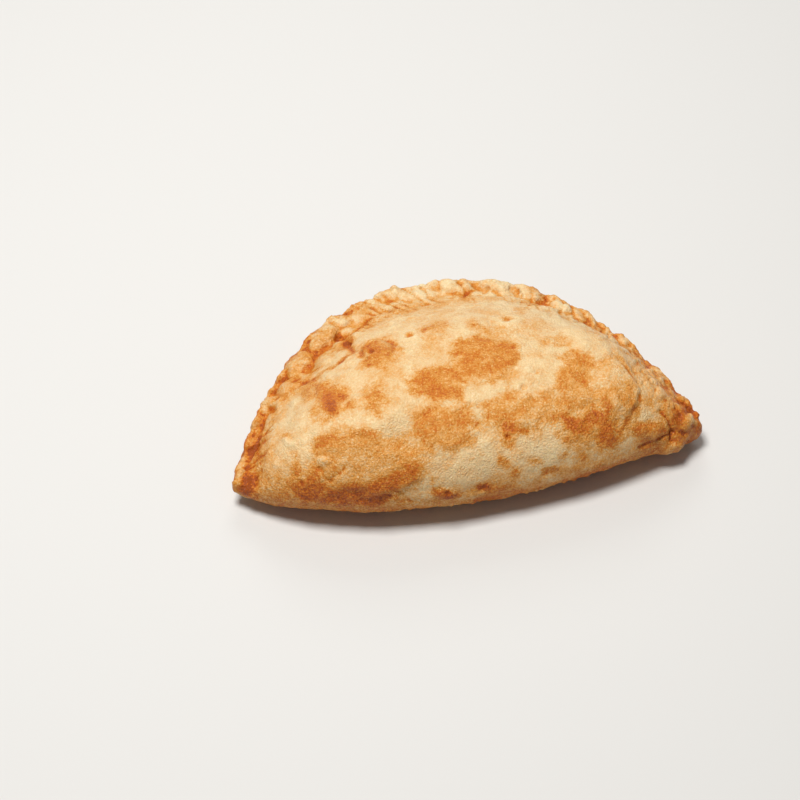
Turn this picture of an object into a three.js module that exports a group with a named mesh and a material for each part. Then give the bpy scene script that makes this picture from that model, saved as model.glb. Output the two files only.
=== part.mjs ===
// A fried empanada: a disc of dough folded over its filling into a half-moon and sealed along the
// curved side with a hand-twisted rope edge. It is one closed piece of food, modelled solid.
//
// Frame, in millimetres: +X runs along the folded side from tip to tip, +Y from the folded side to
// the sealed side, and +Z is up. The origin lies on the surface it rests on, under the middle of its
// bounding box.
import * as THREE from "three";
import { ParametricGeometry } from "three/addons/geometries/ParametricGeometry.js";
import { mergeVertices } from "three/addons/utils/BufferGeometryUtils.js";

// Driving sizes of the half-moon, seen from above.
const LENGTH = 164; // tip to tip
const SEAL_DEPTH = 79; // from the line between the tips to the outside of the rope edge
const SEAL_FULLNESS = 2.4; // 2 is an ellipse, and more is fuller in the middle and straighter at the tips
const FOLD_BULGE = 19; // how far the filling pushes the folded side out past the line between the tips
const FOLD_FULLNESS = 2.2;
const FOLD_SKEW = 0.22; // share by which that bulge is deeper towards the left tip
const TIP_BLUNTNESS = 1.15; // 1 is a sharp tip, and more rounds it off

// The rope edge, twisted wide at the left tip and narrower towards the right one.
const TWISTS = 16; // thumb-wide folds along the seal
const ROPE_WIDTH_LEFT = 15;
const ROPE_WIDTH_RIGHT = 7.5;
const ROPE_HALF_THICKNESS = 3.1;
const ROPE_EDGE_ROUND = 3; // radius of its outer edge
const ROPE_NARROWS_BY = 0.6; // share of the way to the right tip where it has become narrow
const ROPE_FOOT = 0.6; // share of the rope's width that lies past the ends of the filling
const ROPE_LEAN = 0.09; // turns that a twist leans over for each millimetre inwards
const TWIST_LIFT = 1.3; // how much a twist stands above and below the mean rope
const TWIST_REACH = 1.1; // how much a twist stands out past the mean outline
const UNEVEN_PITCH = 0.3; // turns that the hand gets ahead or behind
const UNEVEN_WAVES = 3;
const UNEVEN_LIFT = 0.5; // share of the lift that the flattest twists lack
const TWIST_FADE_START = 0.7; // shares of the rope's width between which a twist runs out
const TWIST_FADE_END = 1.1;
const TIP_ROUND = 10; // how far from a tip the twists fade out
const KNOB_THICKENING = 2.4; // how much thicker each half of the dough is, folded over at the right tip
const KNOB_LENGTH = 22;

// Heights above the surface it rests on.
const TOP_HEIGHT = 34.5;
const FOLD_MIDDLE = 13; // middle of the rounded folded side
const SEAL_MIDDLE = 8.5; // middle of the rope edge
const TIP_MIDDLE = 7.5;
const TIP_LEVEL_FROM = 0.6; // share of the way to a tip from which the middle height goes to the tip's
const UNDERSIDE_FILL = 17; // how deep the underside would hang if the surface did not press it flat

// How the dome rises from each side, as powers of the distance: a half is round, and one is a slope.
const RISE_FROM_FOLD = 0.5;
const RISE_FROM_SEAL = 0.72;
const RISE_FROM_TIPS = 0.6;
const BLEND = 2.5; // softness of the crease between the dome and the rope

// Fat air blisters under the top skin: middle, half sizes in plan, turn and rise.
const BLISTERS = [
  { x: 49, y: 27, long: 17, wide: 12, turn: -0.9, rise: 2.6 },
  { x: -36, y: 4, long: 21, wide: 13, turn: 0.15, rise: 2.2 },
  { x: 1, y: 41, long: 19, wide: 11, turn: 0.3, rise: 1.2 },
  { x: -52, y: 44, long: 9, wide: 7, turn: 0.8, rise: 2.0 },
];

const BLISTER_FLAT = 0.4; // share of a blister's size that is its level top

// Mesh density.
const AROUND_SEAL = 8 * TWISTS;
const AROUND_FOLD = 48;
const RINGS_TOP = 16;
const RINGS_UNDER = 10;
const EDGE_CROWDING = 1.5; // rings lie closer together near the outline

const HALF = LENGTH / 2;
const POLE = new THREE.Vector2(0, 30); // the place in plan that the rings close in on
const around = AROUND_SEAL + AROUND_FOLD;
const rings = RINGS_TOP + RINGS_UNDER;

// How far a bowed curve lies from the line between the tips, at a place along it.
function bow(x, half, depth, fullness) {
  const rest = 1 - Math.min(1, Math.abs(x) / half) ** fullness;
  return depth * rest ** (1 / TIP_BLUNTNESS);
}
const sealBow = (x) => bow(x, HALF, SEAL_DEPTH, SEAL_FULLNESS);
const foldBow = (x) => -bow(x, HALF, FOLD_BULGE, FOLD_FULLNESS) * (1 - FOLD_SKEW * (x / HALF));

// The sealed and the folded side as curves, which three.js can then step along at equal lengths.
class Side extends THREE.Curve {
  constructor(bowed, startX) {
    super();
    Object.assign(this, { bowed, startX });
    this.arcLengthDivisions = 2000;
  }
  getPoint(t, target = new THREE.Vector3()) {
    const x = this.startX * Math.cos(Math.PI * t);
    return target.set(x, this.bowed(x), 0);
  }
}
const seal = new Side(sealBow, HALF);
const fold = new Side(foldBow, -HALF);
const sealLength = seal.getLength();

const smooth = (low, high, value) => THREE.MathUtils.smoothstep(value, low, high);
const mix = THREE.MathUtils.lerp;

// Softened larger of two heights, so that the dome leaves the rope in a crease and not a step.
function blendedMax(a, b) {
  const share = THREE.MathUtils.clamp(0.5 + (a - b) / (2 * BLEND), 0, 1);
  return mix(b, a, share) + BLEND * share * (1 - share);
}

const narrowing = (x) => smooth(-HALF, HALF * ROPE_NARROWS_BY, x);
const ropeWidth = (x) => mix(ROPE_WIDTH_LEFT, ROPE_WIDTH_RIGHT, narrowing(x));
const ropeThickness = (x) => ROPE_HALF_THICKNESS + KNOB_THICKENING * smooth(HALF - KNOB_LENGTH, HALF, x);

// Where a place lies on the dome: the width of the filled part there, and the share of it from the fold.
function crossSection(x, y) {
  const width = ropeWidth(x);
  const inner = bow(x, HALF - width * ROPE_FOOT, SEAL_DEPTH - width, SEAL_FULLNESS);
  const outer = foldBow(x);
  return { width: inner - outer, share: THREE.MathUtils.clamp((y - outer) / (inner - outer), 0, 1) };
}
const widest = crossSection(0, 0).width;

// Share of the dome's full rise, from 0 along its foot to 1 at its crown.
function domeRise(section) {
  if (section.width <= 0) return 0;
  const { share, width } = section;
  const crown = RISE_FROM_FOLD / (RISE_FROM_FOLD + RISE_FROM_SEAL);
  const shape = (s) => s ** RISE_FROM_FOLD * (1 - s) ** RISE_FROM_SEAL;
  return (shape(share) / shape(crown)) * (width / widest) ** RISE_FROM_TIPS;
}

function blisterRise(x, y) {
  let rise = 0;
  for (const b of BLISTERS) {
    const dx = x - b.x;
    const dy = y - b.y;
    const along = (dx * Math.cos(b.turn) + dy * Math.sin(b.turn)) / b.long;
    const across = (dy * Math.cos(b.turn) - dx * Math.sin(b.turn)) / b.wide;
    rise += b.rise * (1 - smooth(BLISTER_FLAT, 1, Math.hypot(along, across)));
  }
  return rise;
}

// The middle height between the top skin and the underside.
function middleHeight(x, y) {
  const toTip = smooth(HALF * TIP_LEVEL_FROM, HALF, Math.abs(x));
  const across = smooth(-FOLD_BULGE, SEAL_DEPTH, y);
  return mix(mix(FOLD_MIDDLE, SEAL_MIDDLE, across), TIP_MIDDLE, toTip);
}

// How much a twist of the rope stands out at a length along the seal and a distance inside the edge.
function twist(length, inside, x) {
  const fade = smooth(0, TIP_ROUND, Math.min(length, sealLength - length));
  const band = 1 - smooth(TWIST_FADE_START, TWIST_FADE_END, inside / ropeWidth(x));
  const share = length / sealLength;
  const drift = UNEVEN_PITCH * Math.sin(2 * Math.PI * UNEVEN_WAVES * share);
  const strength = 1 - UNEVEN_LIFT * (1 + Math.sin(2 * Math.PI * (UNEVEN_WAVES + 1) * share + 1)) / 2;
  const turns = share * TWISTS + drift + inside * ROPE_LEAN;
  return fade * band * strength * Math.cos(2 * Math.PI * turns);
}

// A point of the outline. length is how far along the seal it lies, or null on the folded side.
function outline(u) {
  const step = Math.round(u * around) % around;
  if (step < AROUND_SEAL) {
    const share = step / AROUND_SEAL;
    return { point: seal.getPointAt(share), length: share * sealLength };
  }
  return { point: fold.getPointAt((step - AROUND_SEAL) / AROUND_FOLD), length: null };
}

// The skin: u goes once round the outline, and v from the middle of the underside to the crown.
function skin(u, v, target) {
  const { point, length } = outline(u);
  const ring = Math.round(v * rings);
  const onTop = ring >= RINGS_UNDER;
  const inwards = onTop ? (ring - RINGS_UNDER) / RINGS_TOP : 1 - ring / RINGS_UNDER;
  const share = inwards ** EDGE_CROWDING;
  const inside = share * Math.hypot(point.x - POLE.x, point.y - POLE.y);
  const standOut = length === null ? 0 : twist(length, inside, point.x);

  const reach = 1 - share + (TWIST_REACH * standOut * (1 - inwards)) / point.length();
  const x = POLE.x + (point.x - POLE.x) * reach;
  const y = POLE.y + (point.y - POLE.y) * reach;

  const edge = Math.sqrt(Math.max(0, 1 - (1 - Math.min(1, inside / ROPE_EDGE_ROUND)) ** 2));
  const rope = edge * (ropeThickness(x) + TWIST_LIFT * standOut);
  const rise = domeRise(crossSection(x, y));
  const middle = middleHeight(x, y);
  if (ring === RINGS_UNDER) return target.set(x, y, middle);
  if (onTop) {
    const dome = rise * (TOP_HEIGHT - middleHeight(POLE.x, POLE.y)) + edge * blisterRise(x, y);
    return target.set(x, y, middle + blendedMax(rope, dome) * edge);
  }
  return target.set(x, y, Math.max(0, middle - blendedMax(rope, rise * UNDERSIDE_FILL) * edge));
}

// The parametric surface has a seam and two poles, so its doubled vertices are merged.
function closedSolid(surface) {
  surface.deleteAttribute("normal");
  surface.deleteAttribute("uv");
  const closed = mergeVertices(surface, 1e-3);
  const corners = closed.index.array;
  const kept = [];
  for (let i = 0; i < corners.length; i += 3) {
    const [a, b, c] = corners.subarray(i, i + 3);
    if (a !== b && b !== c && c !== a) kept.push(a, b, c);
  }
  closed.setIndex(kept);
  closed.computeVertexNormals();
  return closed;
}

const dough = new THREE.MeshStandardMaterial({ color: 0xe3b878, roughness: 0.6, metalness: 0 });
const empanada = new THREE.Mesh(closedSolid(new ParametricGeometry(skin, around, rings)), dough);
empanada.name = "empanada";

// The origin goes under the middle of the bounding box.
empanada.geometry.computeBoundingBox();
const middle = empanada.geometry.boundingBox.getCenter(new THREE.Vector3());
empanada.geometry.translate(-middle.x, -middle.y, -empanada.geometry.boundingBox.min.z);

const part = new THREE.Group();
part.add(empanada);

export default part;
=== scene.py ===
# %% [markdown]
# # A fried empanada
# A disc of wheat dough is folded over its filling into a half-moon, its curved side is pressed shut
# and twisted into a rope, and it is fried until the skin blisters. This lesson starts from a plain
# solid of the right size and makes the skin: the puffed rope edge, the blisters, the creases and the
# toasted patches. Blender works in metres, so the sizes written in millimetres are scaled.

# %% Frame and tools
import math

import bpy
import numpy as np
from mathutils import Matrix, Vector, noise


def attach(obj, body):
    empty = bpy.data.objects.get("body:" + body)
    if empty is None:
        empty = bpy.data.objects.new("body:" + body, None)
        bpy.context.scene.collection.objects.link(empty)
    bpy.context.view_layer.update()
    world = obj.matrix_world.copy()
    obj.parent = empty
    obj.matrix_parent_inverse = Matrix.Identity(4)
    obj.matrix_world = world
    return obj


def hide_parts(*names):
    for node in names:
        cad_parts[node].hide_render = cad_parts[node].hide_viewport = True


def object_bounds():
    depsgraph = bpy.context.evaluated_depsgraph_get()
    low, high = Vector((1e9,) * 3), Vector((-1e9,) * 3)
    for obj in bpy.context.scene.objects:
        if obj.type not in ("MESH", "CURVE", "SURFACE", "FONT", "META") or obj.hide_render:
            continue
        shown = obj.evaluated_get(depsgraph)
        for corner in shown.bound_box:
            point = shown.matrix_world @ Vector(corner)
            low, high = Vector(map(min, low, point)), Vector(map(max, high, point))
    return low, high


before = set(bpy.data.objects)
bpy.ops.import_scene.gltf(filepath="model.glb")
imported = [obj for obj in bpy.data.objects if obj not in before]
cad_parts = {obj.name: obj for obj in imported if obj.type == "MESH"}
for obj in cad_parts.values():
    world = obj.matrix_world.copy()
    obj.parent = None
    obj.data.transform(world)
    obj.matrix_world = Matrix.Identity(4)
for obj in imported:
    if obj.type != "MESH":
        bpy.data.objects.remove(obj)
cad_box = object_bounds()
MM = 0.001
print("frame nodes:", sorted(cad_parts))

# %% [markdown]
# ## Camera
# A product picture of food is taken from about a forearm's length with a long lens, so that the near
# side isn't stretched. The camera is turned and tilted about a point beside the empanada, and then
# moved straight back from it.

# %% Camera
AIM = Vector((-20.3, -3.7, 12.0)) * MM
TURN, TILT = math.radians(-8.9), math.radians(52)
DISTANCE = 800 * MM
LENS, SENSOR = 104.5, 36.0  # millimetres, the long lens of a product picture

back = Vector((math.sin(TURN) * math.cos(TILT), -math.cos(TURN) * math.cos(TILT), math.sin(TILT)))
bpy.ops.object.camera_add(location=AIM + back * DISTANCE, rotation=(math.pi / 2 - TILT, 0, TURN))
camera = bpy.context.object
camera.data.lens = LENS
camera.data.sensor_width = SENSOR
camera.data.clip_start = 0.05
bpy.context.scene.camera = camera
print("camera at", [round(v, 3) for v in camera.location])

# %% [markdown]
# ## Floor and light
# A pale sweep of paper reaches far enough to fill the picture. One softbox hangs above and a little to
# the left, and a weaker one stands behind, so that the top is bright and the folded side in front
# falls into soft shade. The pale room around it fills the shadows.

# %% Floor and light
def from_hex(code):
    """Turns an sRGB hex colour into the linear values that a shader wants."""
    shares = [int(code[i : i + 2], 16) / 255 for i in (1, 3, 5)]
    linear = [s / 12.92 if s <= 0.04045 else ((s + 0.055) / 1.055) ** 2.4 for s in shares]
    return (*linear, 1.0)


def add_node(tree, kind, inputs=(), **settings):
    """Adds a shader node, sets its properties, and links its named inputs or gives them a value."""
    node = tree.nodes.new(kind)
    for name, value in settings.items():
        setattr(node, name, value)
    for name, source in dict(inputs).items():
        if isinstance(source, bpy.types.NodeSocket):
            tree.links.new(source, node.inputs[name])
        else:
            node.inputs[name].default_value = source
    return node


def new_material(name):
    """A new node material, its tree and its Principled shader."""
    material = bpy.data.materials.new(name)
    material.use_nodes = True
    tree = material.node_tree
    return material, tree, tree.nodes["Principled BSDF"]


FLOOR_SIZE = 6  # metres
ROOM_GLOW = 0.18

bpy.ops.mesh.primitive_plane_add(size=FLOOR_SIZE)
floor = bpy.context.object
floor.name = "paper_sweep"
paper, _, sheet_shader = new_material("matt backdrop paper")
sheet_shader.inputs["Base Color"].default_value = from_hex("#D6D4D0")
sheet_shader.inputs["Roughness"].default_value = 0.9
floor.data.materials.append(paper)

LAMPS = (
    # name, place and size in metres, watts
    ("softbox", (-0.18, 0.02, 1.00), 0.30, 10.8),
    ("back light", (0.10, 0.80, 0.70), 0.50, 2.4),
)
for name, place, size, watts in LAMPS:
    bpy.ops.object.light_add(type="AREA", location=place)
    lamp = bpy.context.object
    lamp.name = name
    lamp.data.size = size
    lamp.data.energy = watts
    lamp.rotation_euler = (AIM - lamp.location).to_track_quat("-Z", "Y").to_euler()
world = bpy.data.worlds.new("pale room")
world.use_nodes = True
room = world.node_tree.nodes["Background"]
room.inputs["Color"].default_value = from_hex("#F8F6F2")
room.inputs["Strength"].default_value = ROOM_GLOW
bpy.context.scene.world = world
bpy.context.scene.view_settings.view_transform = "Standard"
print("lamps:", len(LAMPS))

# %% [markdown]
# ## The dough case
# The plain solid already has the half-moon, the dome over the filling and the flat rest. Its facets
# are far too large for a skin, so a copy of it is merged into one sheet and remeshed into even small
# squares, which a few rounds of smoothing turn into soft dough.

# %% The dough case
CASE_GRID = 1.0 * MM
CASE_SMOOTHING = 6  # rounds
MERGE_WITHIN = 0.01 * MM


def select_only(*objects):
    """Selects these objects and nothing else, and makes the first one active."""
    bpy.ops.object.select_all(action="DESELECT")
    for o in objects:
        o.select_set(True)
    bpy.context.view_layer.objects.active = objects[0]


def apply_modifier(piece, kind, **settings):
    """Adds a modifier, sets it and applies it at once."""
    select_only(piece)
    modifier = piece.modifiers.new(kind, kind)
    for name, value in settings.items():
        setattr(modifier, name, value)
    bpy.ops.object.modifier_apply(modifier=modifier.name)


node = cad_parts["empanada"]
case = node.copy()
case.data = node.data.copy()
case.name = "empanada_crust"
case.animation_data_clear()
bpy.context.collection.objects.link(case)
case.parent = None
case.hide_render = False
for key in [k for k in case.keys() if k.startswith("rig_")]:
    del case[key]
select_only(case)
bpy.ops.object.mode_set(mode="EDIT")
bpy.ops.mesh.select_all(action="SELECT")
bpy.ops.mesh.remove_doubles(threshold=MERGE_WITHIN)
bpy.ops.object.mode_set(mode="OBJECT")
apply_modifier(case, "REMESH", mode="VOXEL", voxel_size=CASE_GRID)
apply_modifier(case, "SMOOTH", factor=0.5, iterations=CASE_SMOOTHING)
print("dough case:", len(case.data.vertices), "points")

# %% [markdown]
# ## The puffed rope edge
# Each twist of the rope traps a little air, and in the fat it puffs up into a shell. One shell is
# modelled from a ball that is flattened underneath and narrowed at one side. Copies of it sit along the
# edge, each with its own size, turn and rise, because no two twists of a hand are alike.

# %% One puffed shell
def select_points(piece, test):
    """Selects the points of a mesh that pass a test, and goes into edit mode with them."""
    bpy.ops.mesh.select_all(action="DESELECT")
    bpy.ops.object.mode_set(mode="OBJECT")
    for v in piece.data.vertices:
        v.select = test(v.co)
    bpy.ops.object.mode_set(mode="EDIT")


bpy.ops.mesh.primitive_uv_sphere_add(segments=20, ring_count=12, radius=1)
pattern = bpy.context.object
pattern.name = "puffed_shell"
bpy.ops.object.mode_set(mode="EDIT")
select_points(pattern, lambda co: co.y < -0.5)
bpy.ops.transform.resize(value=(0.75, 1, 0.7))
select_points(pattern, lambda co: co.z < -0.2)
bpy.ops.transform.resize(value=(0.9, 0.9, 0.6), center_override=(0, 0, -0.2))
bpy.ops.object.mode_set(mode="OBJECT")
print("one shell:", len(pattern.data.polygons), "faces")

# %% Reading and writing points
TOO_FAR = 1000  # how much lower a point counts for each millimetre that it lies beyond the reach


def read_points(piece):
    """A piece's points and normals as two arrays, in millimetres."""
    count = len(piece.data.vertices)
    points = np.empty(count * 3, dtype=np.float32)
    piece.data.vertices.foreach_get("co", points)
    normals = np.empty(count * 3, dtype=np.float32)
    piece.data.vertex_normals.foreach_get("vector", normals)
    return points.reshape(-1, 3).astype(float) / MM, normals.reshape(-1, 3).astype(float)


def write_points(piece, points):
    """Puts a piece's points where this array in millimetres says."""
    piece.data.vertices.foreach_set("co", (points * MM).astype(np.float32).ravel())
    piece.data.update()


def stand_on(points, normals, place, reach=4.0):
    """The skin's own directions at a place: along the empanada, across it, and out of the skin."""
    weight = np.exp(-((np.linalg.norm(points - place, axis=1) / reach) ** 2))
    out = (normals * weight[:, None]).sum(0)
    out /= np.linalg.norm(out)
    along = np.array([1.0, 0, 0]) - out * out[0]
    along /= np.linalg.norm(along)
    return along, np.cross(out, along), out


def top_at(points, x, y, reach=1.6):
    """The highest point of the skin within reach of this place in plan, or else the nearest one."""
    gap = np.hypot(points[:, 0] - x, points[:, 1] - y)
    return points[np.argmax(points[:, 2] - TOO_FAR * np.maximum(gap - max(reach, gap.min()), 0))]


def smoothed(piece, spots, rounds):
    """The points after this many rounds of moving each to the mean of its neighbours."""
    pairs = np.empty(len(piece.data.edges) * 2, dtype=np.int64)
    piece.data.edges.foreach_get("vertices", pairs)
    a, b = pairs.reshape(-1, 2).T
    count = np.bincount(a, minlength=len(spots)) + np.bincount(b, minlength=len(spots))
    for _ in range(rounds):
        total = np.empty_like(spots)
        for i in range(3):
            total[:, i] = np.bincount(a, spots[b, i], len(spots))
            total[:, i] += np.bincount(b, spots[a, i], len(spots))
        spots = total / count[:, None]
    return spots


# %% [markdown]
# The line where the two sheets of dough meet is worked out once. It is full in the middle and blunt at
# its tips. The rope is widest left of the middle, and near the left tip it narrows to little more than
# the lip.

# %% The seal line
HALF_LENGTH = (cad_box[1][0] - cad_box[0][0]) / 2 / MM
SEAL_TOP = cad_box[1][1] / MM
SEAL_DEPTH, SEAL_FULLNESS, TIP_BLUNTNESS = 79.0, 2.4, 1.15
ROPE_LEFT, ROPE_RIGHT = 17.0, 15.0  # width of the rope edge, in millimetres
FOOT_LEFT, FOOT_RIGHT = 15.0, 8.5  # from the outside to the foot of the dome
SEAL_STEPS = 500


def smooth(low, high, value):
    """0 below low, 1 above high, and an easy curve between."""
    share = np.clip((value - low) / (high - low), 0, 1)
    return share * share * (3 - 2 * share)


def seal_line(steps):
    """The outside of the rope edge in plan, from the right tip to the left one."""
    x = HALF_LENGTH * np.cos(np.linspace(0, math.pi, steps))
    rest = np.maximum(1 - (np.abs(x) / HALF_LENGTH) ** SEAL_FULLNESS, 0)
    return np.stack([x, SEAL_TOP - SEAL_DEPTH + SEAL_DEPTH * rest ** (1 / TIP_BLUNTNESS)], 1)


def inwards(line):
    """Unit steps towards the filling, one for each point of a line in plan."""
    step = np.gradient(line, axis=0)
    turned = np.stack([-step[:, 1], step[:, 0]], 1)
    return turned / np.linalg.norm(turned, axis=1)[:, None]


def along_the_edge(points):
    """How far each point lies from the outside in plan, how far along it, and the whole length."""
    line = seal_line(SEAL_STEPS)
    steps = np.linalg.norm(np.diff(line, axis=0), axis=1)
    lengths = np.append(0, np.cumsum(steps))
    nearest, along = np.full(len(points), 1e6), np.zeros(len(points))
    for (x, y), length in zip(line, lengths):
        gap = np.hypot(points[:, 0] - x, points[:, 1] - y)
        along = np.where(gap < nearest, length, along)
        nearest = np.minimum(nearest, gap)
    return nearest, along, lengths[-1]


print("seal line:", round(2 * HALF_LENGTH), "mm from tip to tip")

# %% [markdown]
# The filling swells into the edge while it fries, so there is no step where the dome begins. The corner
# is filled first, most of all at the left, where the skin runs down to the lip in one sweep, and is
# then smoothed over.

# %% The foot of the dome
FILLS = (
    # shares of the seal line where it starts and ends, middle and half width from the outside, lift
    (0.03, 0.30, 6.0, 3.0, 0.8),
    (0.30, 0.78, 13.0, 4.0, 0.9),
    (0.80, 0.98, 9.6, 3.1, 4.2),
)
SLUMP_WIDER = 2  # how much wider than the lift the smoothing is, in millimetres on each side
SLUMP_ROUNDS = 24
points, normals = read_points(case)
from_edge, along, whole = along_the_edge(points)
share = along / whole
facing_up = smooth(0.0, 0.4, normals[:, 2])
lift, slump = np.zeros(len(points)), np.zeros(len(points))
for start, end, middle, half_width, height in FILLS:
    begun = smooth(start - 0.04, start + 0.04, share)
    going_on = 1 - smooth(end - 0.03, end + 0.03, share)
    here = begun * going_on * facing_up
    off = from_edge - middle
    lift = np.maximum(lift, here * height * np.exp(-((off / half_width) ** 2)))
    slump = np.maximum(slump, here * np.exp(-((off / (half_width + SLUMP_WIDER)) ** 2)))
points[:, 2] += lift
points += (smoothed(case, points, SLUMP_ROUNDS) - points) * slump[:, None]
write_points(case, points)
print("foot of the dome lifted by up to", round(float(lift.max()), 1), "mm")

# %% Where the shells sit
# Place in plan, half length and half width, turn in degrees, and rise, all in millimetres.
SHELLS = (
    (-79.6, -24.0, 3.2, 2.2, -62, 1.8),
    (-81.0, -28.6, 3.0, 2.0, -40, 1.7),
    (-63.0, 0.5, 5.2, 4.0, 60, 1.0),
    (-35.5, 23.5, 5.0, 4.0, 20, 0.9),
    (-66.5, 2.5, 3.2, 2.2, -80, 1.0),
    (-65.0, 8.0, 3.6, 2.4, -70, 1.3),
    (-62.5, 13.0, 3.0, 2.2, -60, 1.0),
    (-60.4, 6.0, 5.8, 4.4, -66, 1.6),
    (-62.5, -2.5, 3.6, 2.6, -70, 0.9),
    (-58.5, -6.5, 4.6, 2.6, -73, 0.6),
    (-53.2, 7.2, 2.4, 1.6, -72, 0.7),
    (-54.5, 17.5, 7.4, 6.0, 70, 1.8),
    (-45.5, 15.5, 8.0, 5.5, 40, 1.2),
    (-43.5, 27.0, 7.6, 6.0, 50, 1.9),
    (-36.5, 33.5, 3.8, 3.0, 30, 1.0),
    (-29.6, 36.8, 6.6, 4.8, 23, 1.6),
    (-22.7, 33.0, 5.6, 4.0, 80, 1.0),
    (-15.7, 38.8, 5.4, 4.6, 40, 1.1),
    (-12.0, 33.5, 3.6, 3.0, 20, 0.5),
    (-5.6, 43.2, 7.4, 4.0, 4, 1.0),
    (-3.0, 37.5, 4.6, 3.0, 0, 0.5),
    (4.7, 44.4, 5.0, 3.6, -16, 0.8),
    (6.5, 38.5, 4.2, 2.8, 10, 0.5),
    (11.3, 44.6, 3.6, 3.0, 71, 0.8),
    (17.6, 45.4, 3.8, 2.8, -46, 1.2),
    (22.8, 42.1, 4.2, 3.2, -41, 0.8),
    (14.5, 39.5, 4.2, 2.6, 60, 0.5),
    (19.7, 38.5, 4.8, 2.2, 83, 0.6),
    (25.2, 37.8, 5.4, 2.4, 76, 0.7),
    (30.2, 37.8, 5.2, 2.4, 83, 0.8),
    (36.2, 36.8, 5.6, 4.2, 60, 1.4),
    (44.4, 29.8, 4.8, 3.6, -55, 1.2),
    (40.8, 25.5, 4.4, 2.8, 68, 0.5),
    (74.0, -26.5, 4.4, 3.6, -30, 0.8),
    (74.5, -31.5, 4.8, 3.8, -20, 0.8),
)
RIGHT_FROM, RIGHT_TO, RIGHT_STEPS = 0.10, 0.29, 17  # shares of the seal line with small twists
RIGHT_ROWS = (1.6, 4.6)  # two staggered rows, in millimetres from the outside
RIGHT_STRETCH = 1.3  # how much longer than wide a small twist is
EDGE_STEPS = 400


def steps_along(start, end, steps):
    """Evenly spaced steps of the seal line, between two shares of its length."""
    return [int(EDGE_STEPS * (start + (end - start) * step / (steps - 1))) for step in range(steps)]


chance = np.random.default_rng(7)
line = seal_line(EDGE_STEPS + 1)
inner = inwards(line)
small_twists = []
for number, at in enumerate(steps_along(RIGHT_FROM, RIGHT_TO, RIGHT_STEPS)):
    depth = RIGHT_ROWS[number % 2] + chance.uniform(-0.5, 0.5)
    x, y = line[at] + inner[at] * depth
    half = chance.uniform(1.7, 2.6)
    turn, rise = chance.uniform(40, 100), chance.uniform(0.5, 1.0)
    small_twists.append((x, y, half * RIGHT_STRETCH, half, turn, rise))
print("small twists on the right:", len(small_twists))

# %% [markdown]
# The rope doesn't meet the filled part in a clean line: low bumps of all sizes straddle the join.

# %% Low bumps at the foot of the dome
FOOT_FROM, FOOT_TO, FOOT_STEPS = 0.10, 0.74, 30  # shares of the seal line
for at in steps_along(FOOT_FROM, FOOT_TO, FOOT_STEPS):
    across_rope = FOOT_RIGHT + (FOOT_LEFT - FOOT_RIGHT) * at / EDGE_STEPS
    x, y = line[at] + inner[at] * across_rope * chance.uniform(0.85, 1.2)
    half = chance.uniform(2.2, 4.2)
    stretch = chance.uniform(1.0, 1.5)
    turn, rise = chance.uniform(0, 180), chance.uniform(0.4, 1.1)
    small_twists.append((x, y, half * stretch, half, turn, rise))
print("bumps at the foot:", FOOT_STEPS)

# %% Setting the shells on the rope
SHELL_FLATNESS = 0.5  # a shell's half thickness as a share of its half width
points, normals = read_points(case)
shells = []
for x, y, half_length, half_width, turn, rise in (*SHELLS, *small_twists):
    place = top_at(points, x, y)
    along, across, out = stand_on(points, normals, place)
    angle = math.radians(turn)
    lengthwise = along * math.cos(angle) + across * math.sin(angle)
    widthwise = np.cross(out, lengthwise)
    thickness = max(half_width * SHELL_FLATNESS, rise)
    middle = place + out * (rise - thickness)
    columns = [widthwise * half_width, lengthwise * half_length, out * thickness]
    shell = pattern.copy()
    shell.data = pattern.data.copy()
    shell.matrix_world = Matrix.Translation(Vector(middle * MM)) @ Matrix(
        [[*(c[i] * MM for c in columns), 0] for i in range(3)] + [[0, 0, 0, 1]]
    )
    bpy.context.collection.objects.link(shell)
    shells.append(shell)
bpy.data.objects.remove(pattern, do_unlink=True)
print("rope edge:", len(shells), "puffed shells")

# %% [markdown]
# ## The lip
# The cut edge of the disc stands up as a thin lip along the outside of the rope. It is a curve with a
# round section, thicker and thinner as it goes, that follows the seal line a little inside it.

# %% The lip
LIP_STEPS = 150
LIP_RADIUS, LIP_INSET, LIP_SINK = 1.0, 1.7, 0.1  # millimetres
LIP_WANDER, LIP_WAVE = 0.8, 0.6  # how far it strays sideways and up, in millimetres
LIP_UNEVEN = 0.4  # how much its thickness changes, as a share
LIP_FROM, LIP_TO = 0.05, 0.97  # shares of the seal line, which leave the blunt tips bare

line = seal_line(LIP_STEPS)
inner = inwards(line)
route = []
for at in range(int(LIP_FROM * LIP_STEPS), int(LIP_TO * LIP_STEPS)):
    wander = noise.noise(Vector((at * 0.37, 3.1, 0.4)))
    thick = 1 + LIP_UNEVEN * noise.noise(Vector((at * 0.61, 8.2, 1.7)))
    x, y = line[at] + inner[at] * (LIP_INSET + LIP_WANDER * wander)
    wave = noise.noise(Vector((at * 0.5, 1.3, 6.6)))
    z = top_at(points, x, y, 1.0)[2] - LIP_SINK + LIP_WAVE * wave
    route.append((x, y, z, thick))
lip_curve = bpy.data.curves.new("lip", "CURVE")
lip_curve.dimensions = "3D"
lip_curve.bevel_depth = LIP_RADIUS * MM
lip_curve.bevel_resolution = 3
lip_curve.use_fill_caps = True
spline = lip_curve.splines.new("POLY")
spline.points.add(len(route) - 1)
for point, (x, y, z, thick) in zip(spline.points, route):
    point.co = (x * MM, y * MM, z * MM, 1)
    point.radius = thick
lip = bpy.data.objects.new("lip", lip_curve)
bpy.context.collection.objects.link(lip)
select_only(lip)
bpy.ops.object.convert(target="MESH")
bpy.context.view_layer.update()
select_only(case, lip, *shells)
bpy.ops.object.join()
print("lip:", len(route), "steps")

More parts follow.
